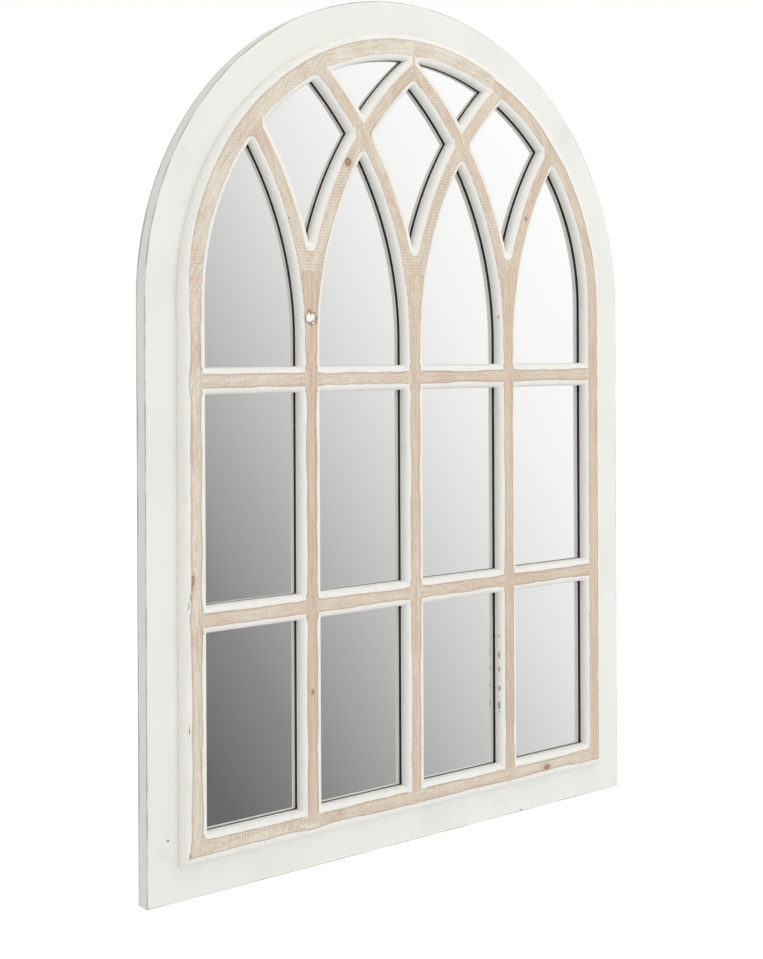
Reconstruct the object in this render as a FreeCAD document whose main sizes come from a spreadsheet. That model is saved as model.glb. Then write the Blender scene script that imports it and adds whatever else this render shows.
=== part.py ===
import FreeCAD, Part
import os
import re

# Arched window mirror. It is drawn lying on its back, as on a bench: x to the right, y up the mirror and z out
# from the wall. The origin is the middle of the bottom rail's back face. At the end every piece is stood up.

doc = FreeCAD.newDocument("window_mirror")
sheet = doc.addObject("Spreadsheet::Sheet", "Sizes")

SIZES = {
    # outline of the whole mirror
    "overall_width": 622.3,
    "overall_height": 870.0,
    # flat frame boards
    "board_thickness": 15.9,
    "frame_width": 48.0,
    "frame_ease": 0.8,
    "frame_joint_angle": 60.0,
    "dowel_diameter": 8.0,
    "dowel_length": 40.0,
    "dowel_spacing": 24.0,
    "dowel_clearance": 0.1,
    # sash strips laid on the frame
    "strip_thickness": 9.5,
    "sash_reveal": 33.1,
    "sash_width": 27.6,
    "sash_edge_radius": 8.85,
    "arch_joint_angle": 65.0,
    # lattice of mullions, bars and ribs
    "strip_width": 25.4,
    "strip_edge_radius": 6.35,
    "corner_radius": 0.3,
    "upper_bar_drop": 76.95,
    "bar_spacing": 222.7,
    "rib_start": 38.1,
    "rib_tail": 68.0,
    "apex_drop": 9.4,
    # glass, backing and the points that hold them
    "glass_thickness": 3.0,
    "backing_thickness": 3.0,
    "pane_clearance": 1.5,
    "point_width": 8.0,
    "point_length": 15.0,
    "point_thickness": 0.5,
    "point_slack": 0.05,
    # screws from the back into the sash
    "screw_inset": 39.5,
    "screw_length": 20.0,
    "screw_diameter": 3.5,
    "screw_head": 7.0,
    "recess_length": 3.2,
    "recess_width": 0.9,
    "recess_depth": 1.2,
    # strap hangers
    "hanger_drop": 44.0,
    "notch_depth": 4.6,
    "notch_width": 24.0,
    "notch_length": 42.0,
    "strap_width": 11.0,
    "strap_length": 36.0,
    "strap_thickness": 0.9,
    "ring_wire": 2.4,
    "ring_play": 0.05,
    "ring_width": 16.4,
    "ring_arm": 6.0,
    "hinge_inset": 45.5,
    "near_screw": 20.0,
    "far_screw": 30.0,
    "hanger_screw_length": 10.0,
    "hanger_screw_diameter": 3.0,
    "hanger_screw_head": 6.0,
}

for row, (alias, value) in enumerate(SIZES.items(), 1):
    sheet.set(f"A{row}", alias)
    sheet.set(f"B{row}", str(value))
    sheet.setAlias(f"B{row}", alias)
doc.recompute()


def sized(expression):
    """Spell every size name in an expression as a cell of the sheet."""
    return re.sub(r"[a-z_]+", lambda word: f"Sizes.{word[0]}" if word[0] in SIZES else word[0], expression)


def place(obj, x, y, z, turn="0", lean=None):
    """Bind a placement: lean about an axis in the plane, then turn about z."""
    spin = f"rotation(vector(0; 0; 1); {turn})"
    if lean:
        spin += f" * rotation(vector({lean}); 90)"
    obj.setExpression("Placement", sized(f"placement(vector({x}; {y}; {z}); {spin})"))


def box(name, x0, x1, y0, y1, z0, z1, turn=None, about=("0", "0")):
    """Box between two corners, or turned about a point when a turn is given."""
    obj = doc.addObject("Part::Box", name)
    obj.setExpression("Length", sized(f"({x1}) - ({x0})"))
    obj.setExpression("Width", sized(f"({y1}) - ({y0})"))
    obj.setExpression("Height", sized(f"({z1}) - ({z0})"))
    if turn is None:
        place(obj, x0, y0, z0)
    else:
        x = f"{about[0]} + ({x0}) * cos({turn}) - ({y0}) * sin({turn})"
        y = f"{about[1]} + ({x0}) * sin({turn}) + ({y0}) * cos({turn})"
        place(obj, x, y, z0, turn)
    return obj


def disc(name, radius, x, y, z0, z1, start="0", sweep="360"):
    """Upright cylinder or pie slice."""
    obj = doc.addObject("Part::Cylinder", name)
    obj.setExpression("Radius", sized(radius))
    obj.setExpression("Height", sized(f"({z1}) - ({z0})"))
    obj.setExpression("Angle", sized(sweep))
    place(obj, x, y, z0, start)
    return obj


def rod(name, radius, length, x, y, z, turn):
    """Cylinder lying in the plane, centred on a point and pointing along the turn."""
    obj = doc.addObject("Part::Cylinder", name)
    obj.setExpression("Radius", sized(radius))
    obj.setExpression("Height", sized(length))
    back = f"({length}) / 2"
    place(obj, f"{x} - {back} * cos({turn})", f"{y} - {back} * sin({turn})", z, turn, "0; 1; 0")
    return obj


def taper(name, radius_low, radius_high, x, y, z0, z1):
    """Upright cone."""
    obj = doc.addObject("Part::Cone", name)
    obj.setExpression("Radius1", sized(radius_low))
    obj.setExpression("Radius2", sized(radius_high))
    obj.setExpression("Height", sized(f"({z1}) - ({z0})"))
    place(obj, x, y, z0)
    return obj


def bend(name, radius, wire, x, y, z, start, sweep):
    """Part of a wire ring lying in the plane."""
    obj = doc.addObject("Part::Torus", name)
    obj.setExpression("Radius1", sized(radius))
    obj.setExpression("Radius2", sized(wire))
    obj.setExpression("Angle3", sized(sweep))
    place(obj, x, y, z, start)
    return obj


def cut(name, base, tool):
    obj = doc.addObject("Part::Cut", name)
    obj.Base = base
    obj.Tool = tool
    return obj


def common(name, base, tool):
    obj = doc.addObject("Part::Common", name)
    obj.Base = base
    obj.Tool = tool
    return obj


def fuse(name, shapes):
    obj = doc.addObject("Part::MultiFuse", name)
    obj.Shapes = shapes
    obj.Refine = True
    return obj


def group(name, shapes):
    obj = doc.addObject("Part::Compound", name)
    obj.Links = shapes
    return obj


def rounded(name, base, edges, radius):
    obj = doc.addObject("Part::Fillet", name)
    obj.Base = base
    obj.Edges = [(index, radius, radius) for index in edges]
    doc.recompute()
    return obj


# Lines shared by the pieces, as expressions of the sizes.
HALF = "overall_width / 2"
FOOT = "(-frame_width / 2)"
TOP = f"({FOOT} + overall_height)"
SPRING = f"({TOP} - {HALF})"
OPENING = f"({HALF} - frame_width)"
SASH_OUT = f"({HALF} - sash_reveal)"
SIGHT = f"({SASH_OUT} - sash_width)"
FLAT = f"({SIGHT} + strip_edge_radius)"
SASH_FOOT = f"({FOOT} + sash_reveal)"
SIGHT_FOOT = f"({SASH_FOOT} + sash_width)"
FLAT_FOOT = f"({SIGHT_FOOT} - strip_edge_radius)"
PITCH = f"((2 * {SIGHT} + strip_width) / 4)"
HALF_STRIP = "strip_width / 2"
HALF_FLAT = "(strip_width / 2 - strip_edge_radius)"
WIDE_HALF = "(strip_width / 2 + corner_radius)"
UPPER_BAR = f"({SPRING} - upper_bar_drop)"
LOWER_BAR = f"({UPPER_BAR} - bar_spacing)"
RIB_SPRING = f"({UPPER_BAR} + rib_start)"
RIB_FOOT = f"({RIB_SPRING} + rib_tail)"
RISE = f"({SPRING} + {SIGHT} - apex_drop - {RIB_SPRING})"
RIB_RADIUS = f"(({PITCH} ^ 2 + {RISE} ^ 2) / (2 * {PITCH}))"
FRONT = "(board_thickness + strip_thickness)"
GLASS_BACK = "(board_thickness - glass_thickness)"
BACKING_BACK = f"({GLASS_BACK} - backing_thickness)"
UNDER = "(-10)"
OVER = f"({FRONT} + 10)"
FAR = "(2 * overall_width)"


def arched(name, half_width, foot, z0, z1):
    """Plate with a straight foot and a round head on the common spring line."""
    straight = box(f"{name}_straight", f"-{half_width}", half_width, foot, SPRING, z0, z1)
    head = disc(f"{name}_head", half_width, "0", SPRING, z0, z1, "0", "180")
    return fuse(name, [straight, head])


def slice_of_arch(name, start, sweep):
    """Pie slice about the centre of the arch, wider than the mirror."""
    return disc(name, FAR, "0", SPRING, UNDER, OVER, start, sweep)


def edges_at(shape, wanted):
    return [index for index, edge in enumerate(shape.Edges, 1) if wanted(edge)]


def level(edge, z):
    """True for an edge that lies in the plane at height z."""
    return all(abs(edge.valueAt(t).z - z) < 1e-4 for t in (edge.FirstParameter, edge.LastParameter)) \
        and abs(edge.CenterOfMass.z - z) < 1e-4


# Holes that the boards and strips share with dowels, screws, points and hangers.
BOARD_MIDDLE = "board_thickness / 2"
ARCH_MIDDLE = f"({HALF} - frame_width / 2)"
SPREAD = "dowel_spacing / 2"


def joint_rods(name, radius, length):
    """Two rods across each of the six joints between frame boards."""
    rods = []
    for step, offset in ((1, f"-{SPREAD}"), (2, SPREAD)):
        for side, sign in (("left", "-"), ("right", "")):
            rods.append(rod(f"{name}_foot_{side}_{step}", radius, length,
                            f"{sign}{OPENING}", offset, BOARD_MIDDLE, "0"))
            rods.append(rod(f"{name}_spring_{side}_{step}", radius, length,
                            f"{sign}({ARCH_MIDDLE} + {offset})", SPRING, BOARD_MIDDLE, "90"))
            angle = "frame_joint_angle" if side == "right" else "(180 - frame_joint_angle)"
            reach = f"({ARCH_MIDDLE} + {offset})"
            rods.append(rod(f"{name}_crown_{side}_{step}", radius, length,
                            f"{reach} * cos({angle})", f"{SPRING} + {reach} * sin({angle})",
                            BOARD_MIDDLE, f"({angle} + 90)"))
    return rods


SCREW_LINE = f"({HALF} - screw_inset)"
SCREW_STARTS = f"({FOOT} + screw_inset)"
screw_places = []
for share in ("0.15", "0.45", "0.75"):
    for sign in ("-", ""):
        screw_places.append((f"{sign}{SCREW_LINE}", f"({SCREW_STARTS} + {share} * ({SPRING} - {SCREW_STARTS}))"))
for sign in ("-", ""):
    screw_places.append((f"{sign}{PITCH} / 2", SCREW_STARTS))
for angle in ("0.2 * arch_joint_angle", "0.7 * arch_joint_angle", "(arch_joint_angle + 90) / 2"):
    for turn in (f"({angle})", f"(180 - ({angle}))"):
        screw_places.append((f"({SCREW_LINE} * cos({turn}))", f"({SPRING} + {SCREW_LINE} * sin({turn}))"))


def screw(name, x, y, z, length, shank, head, sink, recess):
    """Wood screw whose head starts at height z and whose point looks along +z; sunk or round headed."""
    radius = f"{shank} / 2"
    drop = f"({head} - {shank}) / 2"
    tip = f"({z} + {length})"
    if sink:
        head_shape = taper(f"{name}_head", f"{head} / 2", radius, x, y, z, f"{z} + {drop}")
        start = f"({z} + {drop})"
        top = z
    else:
        head_shape = taper(f"{name}_head", f"0.3 * {head}", f"{head} / 2", x, y, f"{z} - {drop}", z)
        start = z
        top = f"({z} - {drop})"
    body = disc(f"{name}_shank", radius, x, y, start, f"{tip} - {shank}")
    point = taper(f"{name}_point", radius, f"0.1 * {shank}", x, y, f"{tip} - {shank}", tip)
    if not recess:
        return fuse(name, [head_shape, body, point])
    slots = [box(f"{name}_slot_{step}", "(-recess_length / 2)", "recess_length / 2", "(-recess_width / 2)",
                 "recess_width / 2", f"({top} - 1)", f"({top} + recess_depth)", turn, (x, y))
             for step, turn in ((1, "0"), (2, "90"))]
    return cut(name, fuse(f"{name}_whole", [head_shape, body, point]), fuse(f"{name}_cross", slots))


def sash_screws(name, recess):
    return [screw(f"{name}_{step}", x, y, "0", "screw_length", "screw_diameter", "screw_head", True, recess)
            for step, (x, y) in enumerate(screw_places, 1)]


# The points sit halfway between the screws.
point_turns = []
for share in ("0.05", "0.3", "0.6"):
    height = f"({SCREW_STARTS} + {share} * ({SPRING} - {SCREW_STARTS}))"
    point_turns.append(("0", OPENING, height))
    point_turns.append(("180", f"-{OPENING}", height))
for sign in ("-", ""):
    point_turns.append(("(-90)", f"{sign}{PITCH}", f"({FOOT} + frame_width)"))
for angle in ("0.45 * arch_joint_angle", "0.6 * arch_joint_angle + 22.5", "90", "157.5 - 0.6 * arch_joint_angle",
              "180 - 0.45 * arch_joint_angle"):
    point_turns.append((f"({angle})", f"({OPENING} * cos({angle}))", f"({SPRING} + {OPENING} * sin({angle}))"))


def points(name, grow):
    """Flat points, half in the frame's inner edge and half over the back of the backing board."""
    wide = f"(point_width / 2 + {grow})"
    reach = f"(point_length / 2 + {grow})"
    low = f"({BACKING_BACK} - point_thickness - {grow})"
    high = f"({BACKING_BACK} + {grow})" if grow != "0" else BACKING_BACK
    return [box(f"{name}_{step}", f"-{reach}", reach, f"-{wide}", wide, low, high, turn, (x, y))
            for step, (turn, x, y) in enumerate(point_turns, 1)]


# Strap hangers: the hinge runs up the mirror and the ring looks inwards over the hollow.
HANGER = f"({SPRING} - hanger_drop)"
FLOOR = "notch_depth"
KNUCKLE = "(ring_wire / 2 + ring_play + strap_thickness)"
HINGE_Z = f"({FLOOR} - {KNUCKLE})"
HINGE = f"({HALF} - hinge_inset)"
STRAP_BACK = f"({FLOOR} - strap_thickness)"


def hanger_screw_list(side, sign, recess):
    return [screw(f"{side}_hanger_{name}", f"{sign}({HINGE} + {gap})", HANGER, STRAP_BACK, "hanger_screw_length",
                  "hanger_screw_diameter", "hanger_screw_head", False, recess)
            for name, gap in (("near", "near_screw"), ("far", "far_screw"))]


def notch(side, sign):
    """Shallow pocket in the back of a stile, open towards the hollow."""
    near = f"{sign}({OPENING} - 1)"
    far = f"{sign}({OPENING} - 1 + notch_length)"
    ends = (far, near) if sign == "-" else (near, far)
    return box(f"{side}_notch", *ends, f"{HANGER} - notch_width / 2", f"{HANGER} + notch_width / 2", "(-1)", FLOOR)


SIDES = (("left", "-"), ("right", ""))

# Frame: one ring with an eased outer edge, bored and then parted into boards.
outer = arched("frame_outline", HALF, FOOT, "0", "board_thickness")
doc.recompute()
board_front = sheet.board_thickness
eased = rounded("frame_eased", outer, edges_at(outer.Shape, lambda edge: level(edge, board_front)),
                sheet.frame_ease)
hole = arched("frame_opening", OPENING, f"({FOOT} + frame_width)", UNDER, OVER)
ring = cut("frame_ring", eased, hole)
bores = joint_rods("dowel_bore", "(dowel_diameter / 2 + dowel_clearance)", "(dowel_length + 1)")
slots = points("point_slot", "point_slack")
notches = [notch(side, sign) for side, sign in SIDES]
hanger_screws = {side: hanger_screw_list(side, sign, False) for side, sign in SIDES}
all_hanger_screws = hanger_screws["left"] + hanger_screws["right"]
screws = sash_screws("sash_screw", False)
holes = group("frame_holes", bores + slots + notches + screws)
ring_bored = cut("frame_bored", ring, holes)
ring_ready = cut("frame_ready", ring_bored, group("hanger_holes", all_hanger_screws))

boards = {
    "frame_left_stile": box("left_stile_zone", f"-{FAR}", f"-{OPENING}", f"{FOOT} - 1", SPRING, UNDER, OVER),
    "frame_right_stile": box("right_stile_zone", OPENING, FAR, f"{FOOT} - 1", SPRING, UNDER, OVER),
    "frame_bottom_rail": box("rail_zone", f"-{OPENING}", OPENING, f"{FOOT} - 1", SPRING, UNDER, OVER),
    "frame_arch_right": slice_of_arch("arch_right_zone", "0", "frame_joint_angle"),
    "frame_arch_crown": slice_of_arch("arch_crown_zone", "frame_joint_angle", "180 - 2 * frame_joint_angle"),
    "frame_arch_left": slice_of_arch("arch_left_zone", "180 - frame_joint_angle", "frame_joint_angle"),
}
pieces = [common(name, ring_ready, zone) for name, zone in boards.items()]
pieces.append(group("frame_dowels", joint_rods("dowel", "dowel_diameter / 2", "dowel_length")))

# Sash: one panel of strips with its cells cut out and its edges routed, then parted into strips.
blank = arched("sash_outline", SASH_OUT, SASH_FOOT, "board_thickness", FRONT)
doc.recompute()
front = sheet.board_thickness + sheet.strip_thickness
outer_radius = min(sheet.sash_edge_radius, sheet.strip_thickness - 0.5)
routed_blank = rounded("sash_routed_outside", blank, edges_at(blank.Shape, lambda edge: level(edge, front)),
                       outer_radius)

POSTS = {"left": f"(-{PITCH})", "centre": "0", "right": PITCH}


def post_strip(name, half_width, foot, head):
    x = POSTS[name]
    return box(f"post_strip_{name}", f"{x} - {half_width}", f"{x} + {half_width}", foot, head, UNDER, OVER)


def rib_centre(post, way):
    return f"({POSTS[post]} {'-' if way == 'left' else '+'} {RIB_RADIUS})"


def rib_disc(name, post, way, offset):
    return disc(name, f"({RIB_RADIUS} + {offset})", rib_centre(post, way), RIB_SPRING, UNDER, OVER)


def rib_band(name, post, way, half_width):
    """Quarter ring that springs upright from a mullion and leans one way."""
    start = "0" if way == "left" else "90"
    x = rib_centre(post, way)
    outside = disc(f"{name}_outside", f"({RIB_RADIUS} + {half_width})", x, RIB_SPRING, UNDER, OVER, start, "90")
    inside = disc(f"{name}_inside", f"({RIB_RADIUS} - {half_width})", x, RIB_SPRING, UNDER, OVER, start, "90")
    return cut(name, outside, inside)


# For each rib: the mullion it springs from, the way it leans, and the limits of its width.
RIBS = {
    "left_outer": ("left", "left", f"-{FAR}", POSTS["left"]),
    "left_inner": ("left", "right", POSTS["left"], "0"),
    "centre_left": ("centre", "left", f"-{FAR}", "0"),
    "centre_right": ("centre", "right", "0", FAR),
    "right_inner": ("right", "left", "0", POSTS["right"]),
    "right_outer": ("right", "right", POSTS["right"], FAR),
}

strips = [post_strip(name, HALF_STRIP, FOOT, RIB_SPRING) for name in POSTS]
for name, y in (("lower", LOWER_BAR), ("upper", UPPER_BAR)):
    strips.append(box(f"{name}_bar_strip", f"-{FAR}", FAR, f"{y} - {HALF_STRIP}", f"{y} + {HALF_STRIP}",
                      UNDER, OVER))
for name, (post, way, x0, x1) in RIBS.items():
    limits = box(f"{name}_limits", x0, x1, FOOT, f"{TOP} + 1", UNDER, OVER)
    strips.append(common(f"{name}_strip", rib_band(f"{name}_line", post, way, HALF_STRIP), limits))
sight = arched("sash_sight", SIGHT, SIGHT_FOOT, UNDER, OVER)
cells = cut("sash_cells", sight, fuse("lattice_strips", strips))
panel = cut("sash_panel", routed_blank, cells)
doc.recompute()


def sharp_upright(edge, shape):
    """True for an upright edge in a cell's corner, not for one where a line runs smoothly into an arc."""
    low, high = edge.Vertexes[0].Point, edge.Vertexes[-1].Point
    if (high - low).Length < 1e-6 or abs((high - low).normalize().z) < 0.999:
        return False
    if abs(low.x) > sheet.overall_width / 2 - sheet.sash_reveal - 1 or low.y < sight_foot - 1:
        return False
    normals = []
    for face in shape.ancestorsOfType(edge, Part.Face):
        normals.append(face.normalAt(*face.Surface.parameter((low + high) * 0.5)))
    return normals[0].getAngle(normals[1]) > 0.1


sight_foot = sheet.sash_reveal + sheet.sash_width - sheet.frame_width / 2
corners = edges_at(panel.Shape, lambda edge: sharp_upright(edge, panel.Shape))
cornered = rounded("sash_cornered", panel, corners, sheet.corner_radius)

face_of_strips = max((face for face in cornered.Shape.Faces if abs(face.CenterOfMass.z - front) < 1e-4
                      and abs(face.normalAt(0, 0).z) > 0.999), key=lambda face: face.Area)
outline = face_of_strips.OuterWire
rims = [edge for wire in face_of_strips.Wires if not wire.isSame(outline) for edge in wire.Edges]
rim_indices = edges_at(cornered.Shape, lambda edge: any(edge.isSame(rim) for rim in rims))
edge_radius = min(sheet.strip_edge_radius, sheet.strip_thickness - 0.5)
routed = rounded("sash_routed", cornered, rim_indices, edge_radius)
sash_ready = cut("sash_ready", routed, group("sash_screw_holes", screws))

# Zones of the strips. Bars and ribs are let into their neighbours as far as the flat of the face.
BAR_ENDS = (f"-{FLAT}", f"(-{PITCH} - {HALF_FLAT})", f"(-{PITCH} + {HALF_FLAT})", f"(-{HALF_FLAT})",
            HALF_FLAT, f"({PITCH} - {HALF_FLAT})", f"({PITCH} + {HALF_FLAT})", FLAT)
bars = {}
for name, y in (("lower", LOWER_BAR), ("upper", UPPER_BAR)):
    for step in range(4):
        bars[f"{name}_bar_{step + 1}"] = box(f"{name}_bar_{step + 1}_zone", BAR_ENDS[2 * step], BAR_ENDS[2 * step + 1],
                                             f"{y} - {WIDE_HALF}", f"{y} + {WIDE_HALF}", UNDER, OVER)
all_bars = group("bar_zones", list(bars.values()))

shafts = {}
mullions = {}
for name, x in POSTS.items():
    shafts[name] = box(f"shaft_{name}", f"{x} - {WIDE_HALF}", f"{x} + {WIDE_HALF}", FLAT_FOOT, RIB_SPRING,
                       UNDER, OVER)
    flare = box(f"flare_{name}", f"{x} - {PITCH} / 3", f"{x} + {PITCH} / 3", RIB_SPRING, RIB_FOOT, UNDER, OVER)
    mullions[f"mullion_{name}"] = cut(f"mullion_{name}_zone", fuse(f"post_{name}", [shafts[name], flare]), all_bars)

rail = cut("sash_rail_zone", box("sash_rail_box", f"-{FLAT}", FLAT, f"{SASH_FOOT} - 1",
                                 f"{SIGHT_FOOT} + corner_radius", UNDER, OVER),
           group("shaft_zones", list(shafts.values())))
stile_stops = group("stile_stops", [rail] + list(bars.values()))
SASH_SIDE = f"({SASH_OUT} + 1)"
SASH_EDGE = f"({SIGHT} - corner_radius)"
stiles = {
    "sash_left_stile": cut("sash_left_zone", box("sash_left_box", f"-{SASH_SIDE}", f"-{SASH_EDGE}",
                                                 f"{SASH_FOOT} - 1", SPRING, UNDER, OVER), stile_stops),
    "sash_right_stile": cut("sash_right_zone", box("sash_right_box", SASH_EDGE, SASH_SIDE,
                                                   f"{SASH_FOOT} - 1", SPRING, UNDER, OVER), stile_stops),
}

reach = disc("rib_reach", FLAT, "0", SPRING, UNDER, OVER)
ribs_whole = {}
for name, (post, way, x0, x1) in RIBS.items():
    limits = box(f"{name}_bounds", x0, x1, RIB_FOOT, TOP, UNDER, OVER)
    band = common(f"{name}_wide", rib_band(f"{name}_wide_line", post, way, WIDE_HALF), limits)
    ribs_whole[name] = common(f"{name}_whole", band, reach)


def crossing(broken, through):
    """Part one rib into two lengths let into the rib that runs through; return the three zones."""
    post, way = RIBS[through][:2]
    near = rib_disc(f"{broken}_near_side", post, way, f"(-{HALF_FLAT})")
    far = rib_disc(f"{broken}_far_side", post, way, HALF_FLAT)
    lower = common(f"rib_{broken}_lower_zone", ribs_whole[broken], near)
    upper = cut(f"rib_{broken}_upper_zone", ribs_whole[broken], far)
    passing = cut(f"rib_{through}_zone", ribs_whole[through], group(f"{broken}_lengths", [lower, upper]))
    return {f"rib_{broken}_lower": lower, f"rib_{broken}_upper": upper, f"rib_{through}": passing}


ribs = {"rib_left_outer": ribs_whole["left_outer"]}
ribs.update(crossing("left_inner", "centre_left"))
ribs.update(crossing("centre_right", "right_inner"))
ribs["rib_right_outer"] = ribs_whole["right_outer"]
all_ribs = group("rib_zones", list(ribs.values()))

arch_core = disc("sash_arch_core", SASH_EDGE, "0", SPRING, UNDER, OVER)
ARCHES = {
    "sash_arch_right_lower": ("0", "arch_joint_angle"),
    "sash_arch_right_upper": ("arch_joint_angle", "90 - arch_joint_angle"),
    "sash_arch_left_upper": ("90", "90 - arch_joint_angle"),
    "sash_arch_left_lower": ("180 - arch_joint_angle", "arch_joint_angle"),
}
arches = {}
for name, (start, sweep) in ARCHES.items():
    band = cut(f"{name}_band", slice_of_arch(f"{name}_slice", start, sweep), arch_core)
    arches[name] = cut(f"{name}_zone", band, all_ribs)

for zones in (stiles, {"sash_bottom_rail": rail}, arches, mullions, bars, ribs):
    pieces += [common(name, sash_ready, zone) for name, zone in zones.items()]

# Glass, backing board and points.
PANE = f"({OPENING} - pane_clearance)"
PANE_FOOT = f"({FOOT} + frame_width + pane_clearance)"
pieces.append(arched("mirror_glass", PANE, PANE_FOOT, GLASS_BACK, "board_thickness"))
pieces.append(arched("backing_board", PANE, PANE_FOOT, BACKING_BACK, GLASS_BACK))
pieces.append(group("framers_points", points("point", "0")))
pieces.append(group("sash_screws", sash_screws("fixing_screw", True)))

# Strap hangers with their rings.
BAR_HALF = "ring_width / 2"
WIRE = "ring_wire / 2"


def hanger(side, sign):
    """Strap with a rolled knuckle and the ring whose straight bar turns in it."""
    axis_x = f"({sign}{HINGE})"
    inward = "-" if sign == "" else "+"
    outward = "+" if sign == "" else "-"
    end = f"({axis_x} {outward} (strap_length - strap_width / 2))"
    plate_ends = (end, axis_x) if sign == "-" else (axis_x, end)
    plate = box(f"{side}_plate", *plate_ends, f"{HANGER} - strap_width / 2", f"{HANGER} + strap_width / 2",
                STRAP_BACK, FLOOR)
    tail = disc(f"{side}_plate_end", "strap_width / 2", end, HANGER, STRAP_BACK, FLOOR)
    roll = rod(f"{side}_knuckle", KNUCKLE, "strap_width", axis_x, HANGER, HINGE_Z, "90")
    bore = rod(f"{side}_knuckle_bore", f"({WIRE} + ring_play)", "(strap_width + 2)", axis_x, HANGER, HINGE_Z, "90")
    strap = cut(f"{side}_strap_bored", fuse(f"{side}_strap_solid", [plate, tail, roll]), bore)
    strap_ready = cut(f"{side}_hanger_strap", strap, group(f"{side}_strap_holes", hanger_screws[side]))

    bar = rod(f"{side}_ring_bar", WIRE, "ring_width", axis_x, HANGER, HINGE_Z, "90")
    parts = [bar]
    arm_x = f"({axis_x} {inward} ring_arm / 2)"
    for step, y in ((1, f"({HANGER} - {BAR_HALF})"), (2, f"({HANGER} + {BAR_HALF})")):
        parts.append(rod(f"{side}_ring_arm_{step}", WIRE, "ring_arm", arm_x, y, HINGE_Z, "0"))
        knee = doc.addObject("Part::Sphere", f"{side}_ring_knee_{step}")
        knee.setExpression("Radius", sized(WIRE))
        place(knee, axis_x, y, HINGE_Z)
        parts.append(knee)
    start = "90" if sign == "" else "(-90)"
    parts.append(bend(f"{side}_ring_bow", BAR_HALF, WIRE, f"({axis_x} {inward} ring_arm)", HANGER, HINGE_Z, start,
                      "180"))
    return [strap_ready, fuse(f"{side}_d_ring", parts)]


for side, sign in SIDES:
    pieces += hanger(side, sign)
screw_copies = []
for side, sign in SIDES:
    screw_copies += hanger_screw_list(f"{side}_fixing", sign, True)
pieces.append(group("hanger_screws", screw_copies))
doc.recompute()

# Stand the mirror up with its back to the wall, check every object and write one file per piece.
bad = [obj.Name for obj in doc.Objects if "Invalid" in obj.State or "Error" in obj.State]
if bad:
    raise RuntimeError(f"not rebuilt: {bad}")
standing = FreeCAD.Placement(FreeCAD.Vector(0, 0, 0), FreeCAD.Rotation(FreeCAD.Vector(1, 0, 0), 90))
for piece in pieces:
    piece.Placement = standing
os.makedirs("parts", exist_ok=True)
for piece in pieces:
    shape = piece.Shape
    if shape.isNull() or not shape.isValid() or not shape.Solids:
        raise RuntimeError(f"bad shape: {piece.Label}")
    shape.exportStep(f"parts/{piece.Label}.step")
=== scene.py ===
import math
import bmesh
import bpy
from mathutils import Matrix, Vector


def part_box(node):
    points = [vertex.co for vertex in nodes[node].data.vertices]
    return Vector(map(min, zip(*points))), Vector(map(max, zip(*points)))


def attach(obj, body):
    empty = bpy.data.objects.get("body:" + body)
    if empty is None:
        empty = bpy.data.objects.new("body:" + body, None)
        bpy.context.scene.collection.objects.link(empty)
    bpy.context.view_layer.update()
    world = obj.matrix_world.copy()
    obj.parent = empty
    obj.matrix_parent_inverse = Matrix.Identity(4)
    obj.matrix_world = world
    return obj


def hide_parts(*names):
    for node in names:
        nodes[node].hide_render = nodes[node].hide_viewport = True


MM = 0.001
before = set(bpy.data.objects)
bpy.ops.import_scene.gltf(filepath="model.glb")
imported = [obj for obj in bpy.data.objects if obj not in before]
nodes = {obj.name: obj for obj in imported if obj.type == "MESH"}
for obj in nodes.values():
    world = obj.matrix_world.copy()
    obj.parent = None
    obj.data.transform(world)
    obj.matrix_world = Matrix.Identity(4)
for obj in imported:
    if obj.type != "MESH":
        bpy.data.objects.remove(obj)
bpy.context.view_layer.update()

# Places on the mirror, in millimetres, in the frame of the CAD model: y is 0 at the wall.
FACE = -25.4            # front of the strips
BOARD_FACE = -15.9      # front of the frame boards, and underside of the strips
FOOT = -24.0            # bottom edge
SPRING = 534.85         # centre of the arch
HALF_WIDTH = 311.15     # half of the overall width, and radius of the arch
POST_PITCH = 131.66     # from one mullion to the next
POSTS = {"left": -POST_PITCH, "centre": 0.0, "right": POST_PITCH}
RIB_SPRING = 496.0      # where the ribs start to lean
RIB_RADIUS = 363.4      # of a rib's centre line
CROTCH = 590.0          # where two ribs part above a mullion
CROSSING = 704.6        # where ribs from neighbouring mullions cross
APEX = 787.0            # where the tallest ribs run into the arch
BAR_HEIGHTS = (235.2, 457.9)
FLAT = 6.35             # half width of the flat face of a rib, mullion or bar
SASH_FLAT = 6.2         # half width of the flat face of a stile, the rail or the arch
SASH_SHIFT = 1.25       # of that flat face, inwards from the middle of the piece
ARCH_FLAT = 263.0       # radius of the middle of the arch's flat face

scene = bpy.context.scene
scene.view_settings.view_transform = "Standard"


def srgb(text):
    """Linear RGBA from an sRGB hex value."""
    channels = [int(text[i:i + 2], 16) / 255 for i in (1, 3, 5)]
    return tuple(c / 12.92 if c <= 0.04045 else ((c + 0.055) / 1.055) ** 2.4 for c in channels) + (1.0,)


def feed(tree, node, inputs):
    """Link the sockets among a node's inputs, and set the plain values."""
    for key, value in dict(inputs).items():
        if isinstance(value, bpy.types.NodeSocket):
            tree.links.new(value, node.inputs[key])
        else:
            node.inputs[key].default_value = value


def add(tree, kind, inputs=(), out=0, **settings):
    """Add a node with its settings and inputs, and return one of its outputs."""
    node = tree.nodes.new("ShaderNode" + kind)
    for key, value in settings.items():
        setattr(node, key, value)
    feed(tree, node, inputs)
    return node.outputs[out]


SMOOTH = {"interpolation_type": "SMOOTHSTEP"}
EVERY_DEPTH = 1e6       # a size so large that depth makes no difference


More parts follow.
